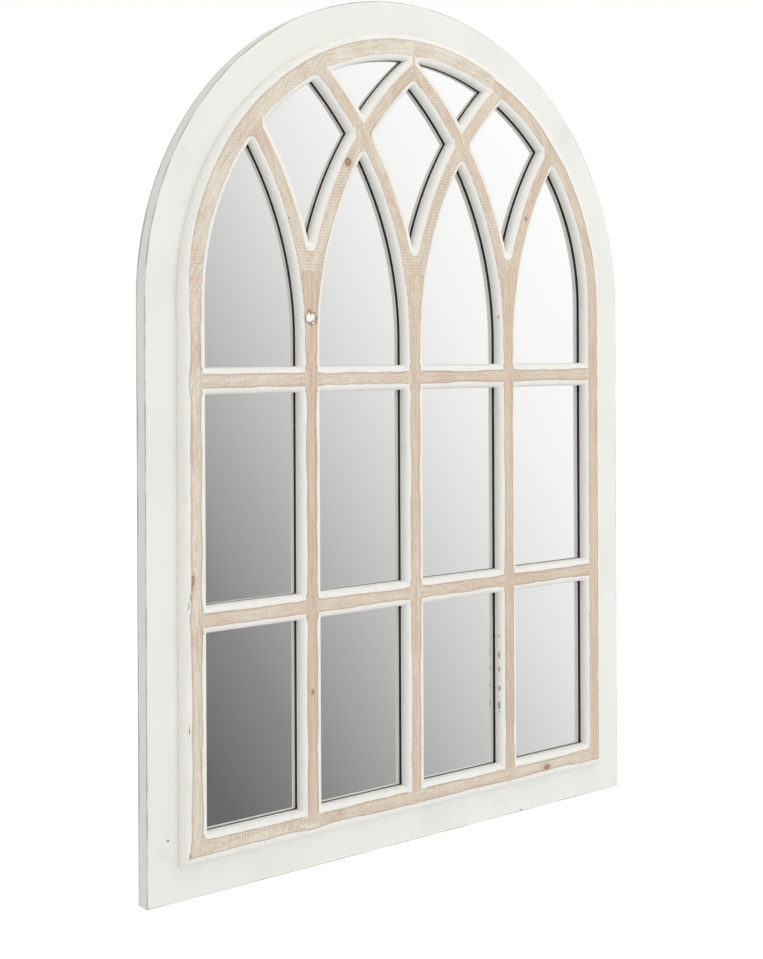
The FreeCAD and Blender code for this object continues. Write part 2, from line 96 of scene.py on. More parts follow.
def start_material(name):
    """New material with its principled shader, and the place on the object in millimetres."""
    material = bpy.data.materials.new(name)
    material.use_nodes = True
    tree = material.node_tree
    shader = tree.nodes["Principled BSDF"]
    place = add(tree, "TexCoord", out="Object")
    return material, tree, shader, add(tree, "VectorMath", {0: place, "Scale": 1 / MM}, operation="SCALE")


def streaks(tree, place, across, along, depth=40.0, detail=2.0, shift=0.0):
    """Noise drawn out along z; across, along and depth are its real sizes in millimetres."""
    moved = add(tree, "Mapping", {"Vector": place, "Location": (shift, 0.7 * shift, 1.3 * shift),
                                  "Scale": (1 / across, 1 / depth, 1 / along)})
    return add(tree, "TexNoise", {"Vector": moved, "Scale": 1.0, "Detail": detail})


def around(tree, place, x, z, wide=1.0, tall=1.0):
    """Distance from a point of the face, one at an ellipse round it; sizes in millimetres."""
    local = add(tree, "Mapping", {"Vector": place, "Location": (x, 0.0, z),
                                  "Scale": (wide, EVERY_DEPTH, tall)}, vector_type="TEXTURE")
    return add(tree, "VectorMath", {0: local}, out=1, operation="LENGTH")


def finish_material(tree, shader, inputs, relief=None, height=0.0):
    """Set or link the shader's inputs, and raise a relief of a height in millimetres."""
    if relief is not None:
        inputs["Normal"] = add(tree, "Bump", {"Height": relief, "Distance": height * MM, "Strength": 1.0})
    feed(tree, shader, inputs)


# Camera: fitted to the printed sizes and the edges of the mirror in the photograph.
LENS_MM = 56.22
SENSOR_MM = 36.0
SHIFT_UP = -0.1347
EYE = Vector((-0.98495, -1.2225, 0.4860))
YAW = math.radians(-38.164)
LEVEL_LOOK = math.radians(90)
ROLL = math.radians(-0.251)
camera_data = bpy.data.cameras.new("camera")
camera_data.lens = LENS_MM
camera_data.sensor_width = SENSOR_MM
camera_data.shift_y = SHIFT_UP
camera = bpy.data.objects.new("camera", camera_data)
camera.matrix_world = (Matrix.Translation(EYE) @ Matrix.Rotation(YAW, 4, "Z")
                       @ Matrix.Rotation(LEVEL_LOOK, 4, "X") @ Matrix.Rotation(ROLL, 4, "Z"))
scene.collection.objects.link(camera)
scene.camera = camera

# Paint and wood colours.
PAINT_WHITE = srgb("#ECECE7")
PAINT_SHADE = srgb("#E4E4DE")
# Painted shade for the side faces of the boards.
SIDE_SHADE = srgb("#DDDDD8")
PAINT_WORN = srgb("#B2A594")
PAINT_DIRT = srgb("#C9C7BF")
PAINT_EDGE = srgb("#A19E97")
DENT = srgb("#75706A")
EDGE_WHITE = srgb("#EEECE6")
EDGE_CREAM = srgb("#ECE7DD")
FIR = srgb("#D6C2AB")
FIR_DARK = srgb("#C6AC93")
FIR_LINE = srgb("#AB9681")
FIR_PINK = srgb("#D2B6A2")
LIME_WASH = srgb("#E8E3D5")
RAW_FIR = srgb("#CDB08A")
RAW_DARK = srgb("#B8966B")
KNOT = srgb("#93705C")
PUTTY = srgb("#F7F4EC")
# Painted shade for the undersides of the strips over the boards.
PAINTED_GAP_SHADE = srgb("#77746A")

# Paint on the frame boards: where each change starts and where it is full, in millimetres.
ARRIS_RUBBED = (1.2, 0.7)       # from the front arris
BACK_DARKENED = (3.0, 1.6)        # from the back arris
SIDE_SHADE_REACH = (0.9, 0.3)        # from the outline, for the painted shade of the side faces
BACK_SKIN = (-0.3, -0.05)       # y of the thinly painted back
CUT_INSET = (3.0, 3.5)          # from the outline to anything that was cut after painting
CUT_DEPTH = (-0.4, -0.6)        # y under the back, and
CUT_COVER = (0.5, 1.0)          # depth under the face, between which those cuts lie
BOARD_ROUGHNESS = 0.62
BRUSH_RELIEF = 0.05


def painted_board(piece, lean, dents):
    """Fir board under matt chalk paint: brushed, faintly uneven, rubbed through at its outer arris, darker
    along its back arris and thin behind, with painted shade on its side faces."""
    material, tree, shader, place = start_material(f"chalk_paint_{piece}")
    turned = add(tree, "VectorRotate", {"Vector": place, "Angle": -math.radians(lean)},
                 rotation_type="Y_AXIS")
    brushed = streaks(tree, turned, 3.0, 110.0, detail=3.0)
    cloudy = streaks(tree, place, 70.0, 90.0, detail=2.0, shift=3.1)
    smudged = streaks(tree, place, 24.0, 30.0, detail=4.0, shift=7.7)
    patchy = streaks(tree, place, 30.0, 30.0, depth=30.0, detail=4.0, shift=8.0)
    fibre = streaks(tree, turned, 1.2, 40.0, detail=3.0, shift=5.0)

    # Distance from the outer arris: across the face from the outline, or back along the edge.
    x, y, z = add(tree, "SeparateXYZ", {0: place}).node.outputs
    climb = add(tree, "Math", {0: z, 1: SPRING}, operation="SUBTRACT")
    rise = add(tree, "Math", {0: climb, 1: 0.0}, operation="MAXIMUM")
    side = add(tree, "CombineXYZ", {0: x, 1: rise})
    reach = add(tree, "VectorMath", {0: side}, out=1, operation="LENGTH")
    from_side = add(tree, "Math", {0: HALF_WIDTH, 1: reach}, operation="SUBTRACT")
    from_foot = add(tree, "Math", {0: z, 1: FOOT}, operation="SUBTRACT")
    inwards = add(tree, "Math", {0: from_side, 1: from_foot}, operation="MINIMUM")
    backwards = add(tree, "Math", {0: y, 1: BOARD_FACE}, operation="SUBTRACT")
    to_arris = add(tree, "Math", {0: inwards, 1: backwards}, operation="ADD")
    to_back = add(tree, "Math", {0: inwards, 1: y}, operation="SUBTRACT")

    # The front arris is rubbed and the back arris darker, patchily, and the back has only a thin coat.
    wear = add(tree, "MapRange", {0: patchy, 1: 0.36, 2: 0.66, 3: 0.55, 4: 1.25}, **SMOOTH)
    worn = add(tree, "Math", {0: to_arris, 1: wear}, operation="DIVIDE")
    rubbed = add(tree, "MapRange", {0: worn, 1: ARRIS_RUBBED[0], 2: ARRIS_RUBBED[1], 4: 0.8}, **SMOOTH)
    back_scaled = add(tree, "Math", {0: to_back, 1: wear}, operation="DIVIDE")
    back_darkened = add(tree, "MapRange", {0: back_scaled, 1: BACK_DARKENED[0], 2: BACK_DARKENED[1], 4: 0.85},
                      **SMOOTH)
    behind = add(tree, "MapRange", {0: y, 1: BACK_SKIN[0], 2: BACK_SKIN[1], 4: 0.55}, **SMOOTH)
    grainy = add(tree, "MapRange", {0: fibre, 1: 0.35, 2: 0.7}, **SMOOTH)
    bare = add(tree, "Math", {0: behind, 1: grainy}, operation="MULTIPLY")
    # Painted shade: the side faces at the outline are painted greyer.
    painted_side_shade = add(tree, "MapRange", {0: inwards, 1: SIDE_SHADE_REACH[0], 2: SIDE_SHADE_REACH[1]}, **SMOOTH)
    # The rebate and the pockets of the hangers were cut after painting.
    inside = add(tree, "MapRange", {0: inwards, 1: CUT_INSET[0], 2: CUT_INSET[1]}, **SMOOTH)
    hollow = add(tree, "MapRange", {0: y, 1: CUT_DEPTH[0], 2: CUT_DEPTH[1]}, **SMOOTH)
    off_face = add(tree, "MapRange", {0: backwards, 1: CUT_COVER[0], 2: CUT_COVER[1]}, **SMOOTH)
    cut_depth = add(tree, "Math", {0: hollow, 1: off_face}, operation="MULTIPLY")
    cut = add(tree, "Math", {0: inside, 1: cut_depth}, operation="MULTIPLY")
    cut_grain = add(tree, "Mix", {0: grainy, 6: RAW_FIR, 7: RAW_DARK}, 2, data_type="RGBA")

    colour = PAINT_WHITE
    coats = [(add(tree, "MapRange", {0: cloudy, 1: 0.4, 2: 0.75, 4: 0.6}, **SMOOTH), PAINT_SHADE),
             (add(tree, "MapRange", {0: brushed, 1: 0.5, 2: 0.8, 4: 0.35}, **SMOOTH), PAINT_SHADE),
             (add(tree, "MapRange", {0: smudged, 1: 0.62, 2: 0.8, 4: 0.3}, **SMOOTH), PAINT_DIRT),
             (painted_side_shade, SIDE_SHADE), (rubbed, PAINT_WORN), (back_darkened, PAINT_EDGE), (bare, RAW_FIR),
             (cut, cut_grain)]
    for dent_x, dent_z, wide, tall, strength in dents:
        edge = around(tree, place, dent_x, dent_z, wide, tall)
        coats.append((add(tree, "MapRange", {0: edge, 1: 1.2, 2: 0.5, 4: strength}, **SMOOTH), DENT))
    for share, shade in coats:
        colour = add(tree, "Mix", {0: share, 6: colour, 7: shade}, 2, data_type="RGBA")
    finish_material(tree, shader, {"Base Color": colour, "Roughness": BOARD_ROUGHNESS}, brushed, BRUSH_RELIEF)
    return material


# For each strip: how far its length leans to the right, in degrees, how much lime wash is left on it, how
# strongly the saw shows, and the seed of its grain. Ribs that meet on a mullion come from one board.
STRIPS = {
    "sash_left_stile": (0, 0.58, 0.25, 1),
    "sash_right_stile": (0, 0.2, 0.25, 2),
    "sash_bottom_rail": (90, 0.4, 0.9, 3),
    "sash_arch_left_lower": (32, 0.6, 0.7, 4),
    "sash_arch_left_upper": (77, 0.75, 0.6, 5),
    "sash_arch_right_upper": (-77, 0.75, 0.5, 6),
    "sash_arch_right_lower": (-32, 0.3, 0.3, 7),
    "mullion_left": (0, 0.1, 0.3, 8),
    "mullion_centre": (0, 0.3, 0.3, 9),
    "mullion_right": (0, 0.2, 0.2, 10),
    "rib_left_outer": (-22, 0.35, 0.9, 11),
    "rib_left_inner_lower": (22, 0.45, 0.9, 11),
    "rib_left_inner_upper": (42, 0.3, 0.15, 12),
    "rib_centre_left": (-28, 0.4, 0.9, 13),
    "rib_centre_right_lower": (22, 0.45, 0.9, 13),
    "rib_centre_right_upper": (42, 0.45, 0.4, 14),
    "rib_right_inner": (-28, 0.35, 0.8, 15),
    "rib_right_outer": (22, 0.25, 0.5, 15),
    "lower_bar_1": (90, 0.35, 0.8, 16),
    "lower_bar_2": (90, 0.35, 0.7, 17),
    "lower_bar_3": (90, 0.3, 0.6, 18),
    "lower_bar_4": (90, 0.25, 0.5, 19),
    "upper_bar_1": (90, 0.5, 0.8, 20),
    "upper_bar_2": (90, 0.5, 0.6, 21),
    "upper_bar_3": (90, 0.35, 0.5, 22),
    "upper_bar_4": (90, 0.35, 0.5, 23),
}
SEED_STEP = 11.0        # millimetres by which a seed shifts the patterns
# Share of the saw marks left near the fork and further up, on the ribs that lean to the left.
SAW_FADE = {"rib_left_outer": (1.0, 0.3), "rib_centre_left": (1.0, 0.3), "rib_right_inner": (0.3, 1.0)}
# Marks on the strips: knots, a paler stretch of the rail, a chip filled with putty, cracks, and paint
# rubbed off the edge; each with its place on the face and its half width and half height in millimetres.
MARKS = {
    "sash_left_stile": [("knot", -267.1, 273.5, 1.5, 5.0), ("bared", -268.3, 266.0, 0.9, 6.0),
                        ("bared", -269.8, 258.5, 0.9, 6.0), ("bared", -271.4, 251.5, 0.8, 5.0),
                        ("bared", -271.3, 136.0, 0.8, 8.0), ("crack", -271.2, 18.6, 1.3, 5.5)],
    "sash_bottom_rail": [("knot", 187.3, 21.9, 4.2, 2.6), ("pale", -190.0, 18.0, 75.0, 9.0)],
    "mullion_left": [("knot", -131.5, 151.3, 1.6, 2.2), ("putty", -132.6, 518.0, 5.6, 5.4)],
    "mullion_right": [("crack", 119.3, 521.6, 0.6, 3.0), ("crack", 119.5, 174.0, 0.6, 2.5),
                      ("crack", 119.5, 154.5, 0.6, 4.0), ("crack", 119.5, 139.5, 0.6, 4.5),
                      ("crack", 119.5, 118.5, 0.6, 4.0), ("crack", 119.5, 99.0, 0.6, 7.0)],
    "rib_left_inner_lower": [("knot", -85.7, 674.4, 3.7, 3.9)],
    "rib_right_outer": [("knot", 158.8, 629.9, 1.6, 2.0)],
    "rib_left_outer": [("crack", -157.6, 614.8, 1.3, 1.1)],
}
# Coats of each kind of mark: whether its outline is ragged, where it starts and where it is full, in
# shares of the mark's size, its strength and its colour.
MARK_COATS = {
    "knot": ((False, 2.4, 0.9, 0.45, FIR_LINE), (False, 1.15, 0.8, 1.0, KNOT),
             (False, 0.7, 0.35, 0.45, FIR_PINK)),
    "pale": ((True, 2.4, 1.4, 0.65, LIME_WASH),),
    "putty": ((True, 2.7, 2.35, 0.85, KNOT), (True, 2.2, 1.95, 1.0, PUTTY)),
    "crack": ((True, 2.2, 1.7, 0.75, DENT),),
    "bared": ((True, 2.2, 1.6, 0.75, KNOT),),
}
IN_WOOD = ("knot", "pale")      # these lie under the paint, and the others go through it
RAGGED = 2.4                    # how far the roughness moves a ragged outline

# Wood and paint of the strips, in millimetres.
WAVE_PERIOD = math.pi / 10      # period of the wave texture at a scale of one
SAW_PITCH = 3.1                 # between the marks of the saw
STEEP = 70                      # degrees of lean past which the saw went across from side to side
LEVEL = 90                      # degrees of lean of the rail and the bars
PLAIN_RADIUS = 26.0             # round a crossing of ribs, where the saw marks were sanded off
FORK_FADE = (CROTCH + 6.0, CROTCH + 26.0)       # heights between which the saw marks change on a rib
PAINT_START = (0.03, 0.1)       # how far the face has rounded off where the paint starts
ARCH_START = 0.35               # added to that on the outer edge of the arch, where the bare face is wider
ARCH_RISE = 90.0                # height over which the arch gets wider above the springing
ARCH_END = 125.0                # x where it is no wider any more, on the right
EDGE_LINE = 0.8                 # strength of the sanded line beside the paint
ARCH_LINE = 0.3                 # and on the arch
BRUSH_CARRY = 1.3               # most that the brush went over the edge of a flat
BRUSH_FADE = 14.0               # length over which it came back to the edge before a crossing
FLAT_LAP = 0.4                  # from the edge of a flat to where the paint starts otherwise
SANDED_WIDTH = 2.6              # of the darker line beside a brushed edge
FORK_RADIUS = 6.6               # of the painted hollow between two ribs
CARRIED = 0.9                   # paint carried over the flat of a rib
CREAM_GAP = 9.0                 # radius round a crossing that this paint leaves open
NECK = (1.7, 8.0)               # half width and half height that it leaves open under the apex
SHADOW_GAP = (0.12, 0.02)       # height above the boards where the painted gap shade starts and is full
LEVEL_GAP_SHADE = 0.45                # strength of that painted shade along the rail and the bars
STRIP_ROUGHNESS = 0.72
STRIP_RELIEF = 0.1

bar_zones = [(bar - FLAT - 1.0, bar + FLAT + 1.0) for bar in BAR_HEIGHTS]
post_zones = [(post - FLAT - 1.0, post + FLAT + 1.0) for post in POSTS.values()]
rail_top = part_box("sash_bottom_rail")[1].z / MM


def brushed_flat(piece):
    """Middle and half width of the flat that a brush ran along, and the stretches that were left out."""
    low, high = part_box(piece)
    middle = (low + high) / 2 / MM
    left, right = low.x / MM, high.x / MM
    if piece == "sash_left_stile":
        return middle.x + SASH_SHIFT, SASH_FLAT, bar_zones + [(FOOT, rail_top - FLAT)]
    if piece == "sash_bottom_rail":
        corners = [(left, left + 4 * FLAT), (right - 4 * FLAT, right)]
        return middle.z + SASH_SHIFT, SASH_FLAT + FLAT_LAP, post_zones + corners
    if piece == "sash_arch_right_lower":
        return ARCH_FLAT, SASH_FLAT, []
    if piece.startswith("mullion"):
        return middle.x, FLAT, bar_zones + [(RIB_SPRING - 12.0, CROTCH)]
    if "bar" in piece:
        return middle.z, FLAT, [(end - 1.0, end + 1.0) for end in (left, right)]
    return None


def saw_marks(tree, place, height, piece, lean, sawn, seed, crossing):
    """Marks of the saw across a strip, and how strongly they show at each place."""
    saw = add(tree, "TexWave", {"Vector": place, "Scale": WAVE_PERIOD / SAW_PITCH, "Distortion": 1.6,
                                "Detail": 2.0, "Detail Scale": 2.2}, 1,
              bands_direction="X" if abs(lean) > STEEP else "Z")
    area = streaks(tree, place, 8.0, 8.0, detail=4.0, shift=seed + 5.0)
    shown = add(tree, "MapRange", {0: area, 1: 0.66 - 0.3 * sawn, 2: 0.8 - 0.3 * sawn, 4: sawn}, **SMOOTH)
    if crossing is not None:
        to_crossing = around(tree, place, crossing, CROSSING, PLAIN_RADIUS, PLAIN_RADIUS)
        kept = add(tree, "MapRange", {0: to_crossing, 1: 0.7, 2: 1.2}, **SMOOTH)
        shown = add(tree, "Math", {0: shown, 1: kept}, operation="MULTIPLY")
    if piece in SAW_FADE:
        near, far = SAW_FADE[piece]
        kept = add(tree, "MapRange", {0: height, 1: FORK_FADE[0], 2: FORK_FADE[1], 3: near, 4: far}, **SMOOTH)
        shown = add(tree, "Math", {0: shown, 1: kept}, operation="MULTIPLY")
    return saw, shown


def mark_coats(tree, place, marks, seed):
    """Coats for the marks on a strip: those in the wood, and those that go through the paint."""
    rough = streaks(tree, place, 3.6, 3.6, depth=3.6, detail=3.0, shift=seed + 9.0)
    in_wood = []
    in_paint = []
    for kind, x, z, wide, tall in marks:
        edge = around(tree, place, x, z, wide, tall)
        torn = add(tree, "Math", {0: rough, 1: RAGGED, 2: edge}, operation="MULTIPLY_ADD")
        for ragged, start, full, strength, shade in MARK_COATS[kind]:
            outline = torn if ragged else edge
            share = add(tree, "MapRange", {0: outline, 1: start, 2: full, 4: strength}, **SMOOTH)
            (in_wood if kind in IN_WOOD else in_paint).append((share, shade))
    return in_wood, in_paint


def brushed_edge(tree, place, piece, lean, seed, middle, half, crossings):
    """Paint that the brush carried over the edge of a flat, and the line sanded darker beside it."""
    sideways, _, height = add(tree, "SeparateXYZ", {0: place}).node.outputs
    sidelong, lengthwise = (height, sideways) if lean == LEVEL else (sideways, height)
    if "arch" in piece:
        radial = around(tree, place, 0.0, SPRING)
        across = add(tree, "Math", {0: radial, 1: middle}, operation="SUBTRACT")
    else:
        off_middle = add(tree, "Math", {0: sidelong, 1: middle}, operation="SUBTRACT")
        across = add(tree, "Math", {0: off_middle}, operation="ABSOLUTE")
    hand = streaks(tree, place, 42.0, 42.0, depth=42.0, detail=2.5, shift=seed + 10.0)
    carry = add(tree, "MapRange", {0: hand, 1: 0.34, 2: 0.68, 4: BRUSH_CARRY}, **SMOOTH)
    open_run = 1.0
    for start, end in crossings:
        span = (end - start) / 2
        off_centre = add(tree, "Math", {0: lengthwise, 1: (start + end) / 2}, operation="SUBTRACT")
        away = add(tree, "Math", {0: off_centre}, operation="ABSOLUTE")
        fade = add(tree, "MapRange", {0: away, 1: span, 2: span + BRUSH_FADE}, **SMOOTH)
        carry = add(tree, "Math", {0: carry, 1: fade}, operation="MULTIPLY")
        clear = add(tree, "MapRange", {0: away, 1: span, 2: span + 0.5}, **SMOOTH)
        open_run = add(tree, "Math", {0: open_run, 1: clear}, operation="MULTIPLY")
    reach = add(tree, "Math", {0: half + FLAT_LAP, 1: carry}, operation="SUBTRACT")
    over_edge = add(tree, "Math", {0: across, 1: reach}, operation="SUBTRACT")
    brushed = add(tree, "MapRange", {0: over_edge, 1: -0.2, 2: 0.25}, **SMOOTH)
    sanded = add(tree, "MapRange", {0: over_edge, 1: -SANDED_WIDTH, 2: -0.3, 4: 0.5}, **SMOOTH)
    return [add(tree, "Math", {0: share, 1: open_run}, operation="MULTIPLY") for share in (brushed, sanded)]


def fork_coats(tree, place, height, post, way, crossing, uneven, paint):
    """Coats above the fork of two ribs: the painted hollow, and paint carried a little way over each flat."""
    fork = around(tree, place, post, CROTCH, FORK_RADIUS, FORK_RADIUS)
    reach = around(tree, place, post + way * RIB_RADIUS, RIB_SPRING)
    wavy = add(tree, "Math", {0: uneven, 1: 0.9, 2: reach}, operation="MULTIPLY_ADD")
    carried = RIB_RADIUS + FLAT - CARRIED
    edge = add(tree, "MapRange", {0: wavy, 1: carried + 0.25, 2: carried + 0.7}, **SMOOTH)
    to_crossing = around(tree, place, crossing, CROSSING, CREAM_GAP, CREAM_GAP)
    clear = add(tree, "MapRange", {0: to_crossing, 1: 1.0, 2: 1.25}, **SMOOTH)
    above = add(tree, "MapRange", {0: height, 1: CROTCH - 1.0, 2: CROTCH + 1.0}, **SMOOTH)
    past_fork = add(tree, "Math", {0: clear, 1: above}, operation="MULTIPLY")
    neck = around(tree, place, 0.0, APEX, NECK[0], NECK[1])
    past_neck = add(tree, "MapRange", {0: neck, 1: 0.8, 2: 1.2}, **SMOOTH)
    there = add(tree, "Math", {0: past_fork, 1: past_neck}, operation="MULTIPLY")
    return [(add(tree, "MapRange", {0: fork, 1: 1.14, 2: 1.02, 4: 0.6}, **SMOOTH), FIR_LINE),
            (add(tree, "MapRange", {0: fork, 1: 1.03, 2: 0.97}, **SMOOTH), paint),
            (add(tree, "Math", {0: edge, 1: there}, operation="MULTIPLY"), EDGE_CREAM)]


def washed_fir(piece, lean, wash, sawn, seed):
    """Sawn fir strip, lime washed and sanded on its face so that the grain and the saw marks show through,
    with its rounded edges painted white, and painted shade on its underside over the boards."""
    material, tree, shader, place = start_material(f"washed_fir_{piece}")
    sideways, depth, height = add(tree, "SeparateXYZ", {0: place}).node.outputs
    rib = piece.startswith("rib")
    way = math.copysign(1.0, lean)
    post = POSTS[piece.split("_")[1]] if rib else None
    crossing = post + way * POST_PITCH / 2 if rib else None
    flat = brushed_flat(piece)

    # The wood: rings and fibres along the grain, rosy patches, and lime left in the pores and in a thin haze.
    turned = add(tree, "VectorRotate", {"Vector": place, "Angle": -math.radians(lean)},
                 rotation_type="Y_AXIS")
    rings = streaks(tree, turned, 3.4, 150.0, detail=3.0, shift=seed)
    fibre = streaks(tree, turned, 0.75, 26.0, detail=2.0, shift=seed + 1.0)
    limed = streaks(tree, turned, 1.0, 9.0, detail=3.0, shift=seed + 2.0)
    chalk = streaks(tree, turned, 1.7, 5.0, detail=3.0, shift=seed + 11.0)
    patches = streaks(tree, place, 26.0, 40.0, detail=2.0, shift=seed + 3.0)
    rosy = streaks(tree, place, 18.0, 34.0, detail=2.0, shift=seed + 4.0)
    saw, sawn_here = saw_marks(tree, place, height, piece, lean, sawn, seed, crossing)
    saw_pale = add(tree, "MapRange", {0: saw, 1: 0.7, 2: 0.98, 4: 0.6}, **SMOOTH)
    saw_dark = add(tree, "MapRange", {0: saw, 1: 0.25, 2: 0.03, 4: 0.28}, **SMOOTH)
    haze = add(tree, "MapRange", {0: patches, 1: 0.3, 2: 0.7, 3: 0.35 * wash, 4: wash}, **SMOOTH)
    pores = add(tree, "MapRange", {0: limed, 1: 0.52, 2: 0.63, 4: 0.18 + 0.85 * wash}, **SMOOTH)
    flecks = add(tree, "MapRange", {0: chalk, 1: 0.6, 2: 0.66, 4: 0.05 + 0.95 * wash}, **SMOOTH)
    coats = [(add(tree, "MapRange", {0: rings, 1: 0.35, 2: 0.68}, **SMOOTH), FIR_DARK),
             (add(tree, "MapRange", {0: rosy, 1: 0.48, 2: 0.7, 4: 0.7}, **SMOOTH), FIR_PINK),
             (haze, LIME_WASH), (pores, LIME_WASH), (flecks, EDGE_WHITE),
             (add(tree, "MapRange", {0: fibre, 1: 0.54, 2: 0.68, 4: 0.4}, **SMOOTH), FIR_LINE),
             (add(tree, "Math", {0: sawn_here, 1: saw_dark}, operation="MULTIPLY"), FIR_LINE),
             (add(tree, "Math", {0: sawn_here, 1: saw_pale}, operation="MULTIPLY"), LIME_WASH)]
    in_wood, in_paint = mark_coats(tree, place, MARKS.get(piece, ()), seed)
    coats += in_wood

    # The paint starts where the face begins to round off, a little unevenly, over a line sanded darker.
    sunk = add(tree, "Math", {0: depth, 1: FACE}, operation="SUBTRACT")
    uneven = streaks(tree, place, 16.0, 16.0, depth=16.0, detail=3.0, shift=seed + 6.0)
    limit = add(tree, "MapRange", {0: uneven, 1: 0.3, 2: 0.75, 3: PAINT_START[0], 4: PAINT_START[1]},
                **SMOOTH)
    line = EDGE_LINE
    if "arch" in piece and flat is None:
        radial = around(tree, place, 0.0, SPRING)
        outer = add(tree, "MapRange", {0: radial, 1: ARCH_FLAT, 2: ARCH_FLAT + 2.0, 4: ARCH_START}, **SMOOTH)
        rising = add(tree, "MapRange", {0: height, 1: SPRING, 2: SPRING + ARCH_RISE}, **SMOOTH)
        leftwards = add(tree, "MapRange", {0: sideways, 1: ARCH_END, 2: 0.0}, **SMOOTH)
        run = add(tree, "Math", {0: rising, 1: leftwards}, operation="MULTIPLY")
        limit = add(tree, "Math", {0: outer, 1: run, 2: limit}, operation="MULTIPLY_ADD")
        line = ARCH_LINE
    past_limit = add(tree, "Math", {0: sunk, 1: limit}, operation="DIVIDE")
    painted = add(tree, "MapRange", {0: past_limit, 1: 0.7, 2: 1.3}, **SMOOTH)
    coats.append((add(tree, "MapRange", {0: past_limit, 1: 0.0, 2: 0.3, 4: line}, **SMOOTH), FIR_LINE))
    if flat is not None:
        brushed, sanded = brushed_edge(tree, place, piece, lean, seed, *flat)
        coats.append((sanded, FIR_LINE))
        painted = add(tree, "Math", {0: painted, 1: brushed}, operation="MAXIMUM")

    # The paint itself is mottled and speckled, and painted shade makes it dark in the gap over the boards.
    mottle = streaks(tree, place, 9.0, 16.0, depth=9.0, detail=4.0, shift=seed + 7.0)
    specks = streaks(tree, place, 2.2, 2.6, depth=2.2, detail=2.0, shift=seed + 8.0)
    paint = EDGE_WHITE
    for pattern, start, end, strength, shade in ((mottle, 0.5, 0.75, 0.8, PAINT_SHADE),
                                                 (specks, 0.77, 0.83, 0.5, PAINT_WORN)):
        share = add(tree, "MapRange", {0: pattern, 1: start, 2: end, 4: strength}, **SMOOTH)
        paint = add(tree, "Mix", {0: share, 6: paint, 7: shade}, 2, data_type="RGBA")
    if rib:
        coats += fork_coats(tree, place, height, post, way, crossing, uneven, paint)
    # Painted shade: the undersides over the boards are dark, less so on the rail and the bars.
    under = add(tree, "MapRange", {0: depth, 1: BOARD_FACE - SHADOW_GAP[0], 2: BOARD_FACE - SHADOW_GAP[1],
                                   4: LEVEL_GAP_SHADE if lean == LEVEL else 1.0}, **SMOOTH)
    coats.append((painted, paint))
    coats += in_paint
    coats.append((under, PAINTED_GAP_SHADE))
    colour = FIR
    for share, shade in coats:
        colour = add(tree, "Mix", {0: share, 6: colour, 7: shade}, 2, data_type="RGBA")
    relief = add(tree, "Math", {0: saw, 1: sawn_here, 2: fibre}, operation="MULTIPLY_ADD")
    finish_material(tree, shader, {"Base Color": colour, "Roughness": STRIP_ROUGHNESS}, relief, STRIP_RELIEF)
    return material


def silvered_glass(name):
    """Float glass silvered on its back: what shows is the silver, with next to no blur."""
    material, tree, shader, place = start_material(name)
    haze = streaks(tree, place, 120.0, 120.0, detail=2.0)
    colour = add(tree, "Mix", {0: haze, 6: srgb("#F3F3F3"), 7: srgb("#F1F1F1")}, 2, data_type="RGBA")
    finish_material(tree, shader, {"Base Color": colour, "Roughness": 0.012, "Metallic": 1.0})
    return material


def zinc_steel(name):
    """Zinc plated mild steel: pale grey, slightly blue, soft reflections with handling marks."""
    material, tree, shader, place = start_material(name)
    spangle = streaks(tree, place, 0.9, 0.9, depth=0.9, detail=3.0)
    handled = streaks(tree, place, 6.0, 6.0, depth=6.0, detail=3.0, shift=2.0)
    share = add(tree, "MapRange", {0: spangle, 1: 0.35, 2: 0.7}, **SMOOTH)
    colour = add(tree, "Mix", {0: share, 6: srgb("#C3C6C9"), 7: srgb("#A9ADB1")}, 2, data_type="RGBA")
    rough = add(tree, "MapRange", {0: handled, 1: 0.3, 2: 0.7, 3: 0.28, 4: 0.46}, **SMOOTH)
    finish_material(tree, shader, {"Base Color": colour, "Roughness": rough, "Metallic": 1.0}, spangle, 0.01)
    return material


def hardboard(name):
    """Pressed brown hardboard: matt, with short pale and dark fibres and a smooth face."""
    material, tree, shader, place = start_material(name)
    # Fibres are about 0.3 mm thick; drawn several times as coarse, so that they show.
    fibres = streaks(tree, place, 2.2, 6.0, depth=2.2, detail=4.0)
    crossed = streaks(tree, place, 6.5, 2.2, depth=2.2, detail=4.0, shift=5.0)
    clouds = streaks(tree, place, 60.0, 80.0, detail=3.0, shift=9.0)
    colour = srgb("#7D5D43")
    for pattern, start, end, strength, shade in ((clouds, 0.3, 0.7, 1.0, "#765539"),
                                                 (fibres, 0.52, 0.7, 0.5, "#A18060"),
                                                 (crossed, 0.54, 0.72, 0.5, "#523A28")):
        share = add(tree, "MapRange", {0: pattern, 1: start, 2: end, 4: strength}, **SMOOTH)
        colour = add(tree, "Mix", {0: share, 6: colour, 7: srgb(shade)}, 2, data_type="RGBA")
    finish_material(tree, shader, {"Base Color": colour, "Roughness": 0.8}, fibres, 0.05)
    return material


def birch(name):
    """Turned birch dowel, unfinished, with short fine grain."""
    material, tree, shader, place = start_material(name)
    fibre = streaks(tree, place, 0.9, 12.0, depth=0.9, detail=3.0)
    share = add(tree, "MapRange", {0: fibre, 1: 0.4, 2: 0.7}, **SMOOTH)
    colour = add(tree, "Mix", {0: share, 6: srgb("#D9BE95"), 7: srgb("#C5A679")}, 2, data_type="RGBA")
    finish_material(tree, shader, {"Base Color": colour, "Roughness": 0.7}, fibre, 0.03)
    return material


